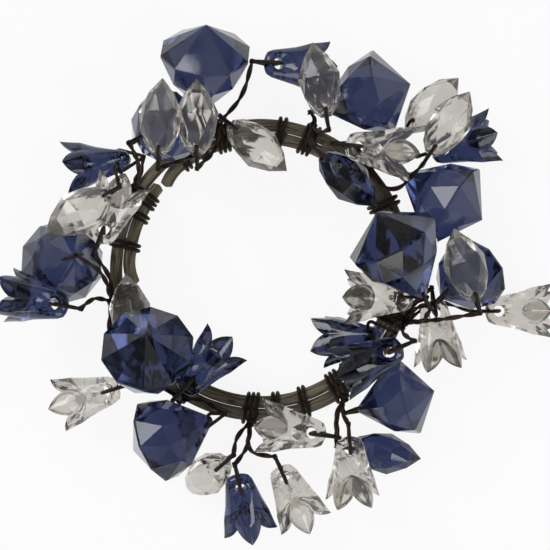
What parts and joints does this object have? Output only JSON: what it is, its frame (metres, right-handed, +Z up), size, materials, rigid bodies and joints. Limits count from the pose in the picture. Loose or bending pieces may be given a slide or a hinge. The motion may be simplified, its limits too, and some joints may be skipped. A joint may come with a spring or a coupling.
{
  "type": "candle ring",
  "caption": "Decorative candle ring: a vine hoop bound with paper-covered wire and hung with faceted gems, flared bells and pointed buds round an open centre.",
  "frame": {"origin": "centre of the candle opening, on the table plane that the beads rest on", "axes": "+Z up out of the opening, +X to the right and +Y to the far side as the ring is seen from above"},
  "size_m": [0.2194, 0.2041, 0.0583],
  "materials": {
    "blue_acrylic": "polished translucent deep blue",
    "clear_acrylic": "polished clear, slightly smoky",
    "vine_bark": "dry grey-brown bark with lengthwise grain",
    "paper_wire": "matt dark brown paper wrap"
  },
  "bodies": {
    "ring": {"blue_bud_01": "blue_acrylic", "blue_bud_02": "blue_acrylic", "blue_gem_01": "blue_acrylic", "blue_gem_02": "blue_acrylic", "blue_gem_03": "blue_acrylic", "blue_gem_04": "blue_acrylic", "blue_gem_05": "blue_acrylic", "blue_gem_06": "blue_acrylic", "blue_gem_07": "blue_acrylic", "blue_gem_08": "blue_acrylic", "blue_gem_09": "blue_acrylic", "blue_gem_10": "blue_acrylic", "blue_tulip_01": "blue_acrylic", "blue_tulip_03": "blue_acrylic", "blue_tulip_06": "blue_acrylic", "blue_tulip_07": "blue_acrylic", "clear_bud_01": "clear_acrylic", "clear_bud_02": "clear_acrylic", "clear_bud_03": "clear_acrylic", "clear_bud_04": "clear_acrylic", "clear_bud_05": "clear_acrylic", "clear_bud_06": "clear_acrylic", "clear_bud_07": "clear_acrylic", "clear_bud_08": "clear_acrylic", "clear_bud_09": "clear_acrylic", "clear_bud_10": "clear_acrylic", "clear_tulip_03": "clear_acrylic", "clear_tulip_04": "clear_acrylic", "clear_tulip_06": "clear_acrylic", "vine_rod_inner_long": "vine_bark", "vine_rod_inner_short": "vine_bark", "vine_rod_outer": "vine_bark", "vine_rod_top": "vine_bark", "wire_spray_bottom": "paper_wire", "wire_spray_left": "paper_wire", "wire_spray_lower_east": "paper_wire", "wire_spray_lower_left": "paper_wire", "wire_spray_lower_right": "paper_wire", "wire_spray_right": "paper_wire", "wire_spray_top_left": "paper_wire", "wire_spray_top_right": "paper_wire", "wire_spray_upper_left": "paper_wire", "wire_windings_bottom": "paper_wire", "wire_windings_left": "paper_wire", "wire_windings_right": "paper_wire", "wire_windings_top": "paper_wire"},
    "clear_tulip_08_swing": {"clear_tulip_08": "clear_acrylic"},
    "clear_tulip_09_swing": {"clear_tulip_09": "clear_acrylic"},
    "blue_tulip_08_swing": {"blue_tulip_08": "blue_acrylic"},
    "clear_tulip_02_swing": {"clear_tulip_02": "clear_acrylic"},
    "clear_tulip_05_swing": {"clear_tulip_05": "clear_acrylic"},
    "clear_tulip_07_swing": {"clear_tulip_07": "clear_acrylic"},
    "blue_tulip_02_swing": {"blue_tulip_02": "blue_acrylic"},
    "clear_tulip_01_swing": {"clear_tulip_01": "clear_acrylic"},
    "blue_tulip_05_swing": {"blue_tulip_05": "blue_acrylic"},
    "blue_tulip_04_swing": {"blue_tulip_04": "blue_acrylic"}
  },
  "joints": [
    {"name": "clear_tulip_08_hinge", "type": "hinge", "parent": "ring", "child": "clear_tulip_08_swing", "pos_m": [0.06854, -0.01734, 0.01423], "axis": [-0.0194, 0.1378, -0.9903], "range_deg": [-30, 4]},
    {"name": "clear_tulip_09_hinge", "type": "hinge", "parent": "ring", "child": "clear_tulip_09_swing", "pos_m": [0.05357, -0.01051, 0.02397], "axis": [-0.1392, 0, 0.9903], "range_deg": [-25, 0]},
    {"name": "blue_tulip_08_hinge", "type": "hinge", "parent": "ring", "child": "blue_tulip_08_swing", "pos_m": [0.04917, -0.03143, 0.03097], "axis": [-0.1271, -0.0566, 0.9903], "range_deg": [0, 30]},
    {"name": "clear_tulip_02_hinge", "type": "hinge", "parent": "ring", "child": "clear_tulip_02_swing", "pos_m": [-0.06046, 0.01538, 0.02482], "axis": [0.1033, 0.2556, 0.9613], "range_deg": [-16, 4]},
    {"name": "clear_tulip_05_hinge", "type": "hinge", "parent": "ring", "child": "clear_tulip_05_swing", "pos_m": [0.01996, -0.06331, 0.02215], "axis": [-0.2059, 0.0289, 0.9781], "range_deg": [-30, 0]},
    {"name": "clear_tulip_07_hinge", "type": "hinge", "parent": "ring", "child": "clear_tulip_07_swing", "pos_m": [0.09487, -0.01635, 0.00647], "axis": [-0.2079, -0.0036, 0.9781], "range_deg": [-30, 30]},
    {"name": "blue_tulip_02_hinge", "type": "hinge", "parent": "ring", "child": "blue_tulip_02_swing", "pos_m": [-0.05715, 0.04327, 0.00856], "axis": [0.1933, -0.8453, 0.4981], "range_deg": [-30, 0]},
    {"name": "clear_tulip_01_hinge", "type": "hinge", "parent": "ring", "child": "clear_tulip_01_swing", "pos_m": [0.03791, 0.04723, 0.02734], "axis": [0.2401, -0.0295, 0.9703], "range_deg": [-16, 4]},
    {"name": "blue_tulip_05_hinge", "type": "hinge", "parent": "ring", "child": "blue_tulip_05_swing", "pos_m": [-0.02723, -0.04343, 0.01803], "axis": [0.2774, 0.2975, 0.9135], "range_deg": [-8, 30]},
    {"name": "blue_tulip_04_hinge", "type": "hinge", "parent": "ring", "child": "blue_tulip_04_swing", "pos_m": [-0.07855, -0.01309, 0.03051], "axis": [0.2382, -0.042, -0.9703], "range_deg": [-30, 0]}
  ]
}
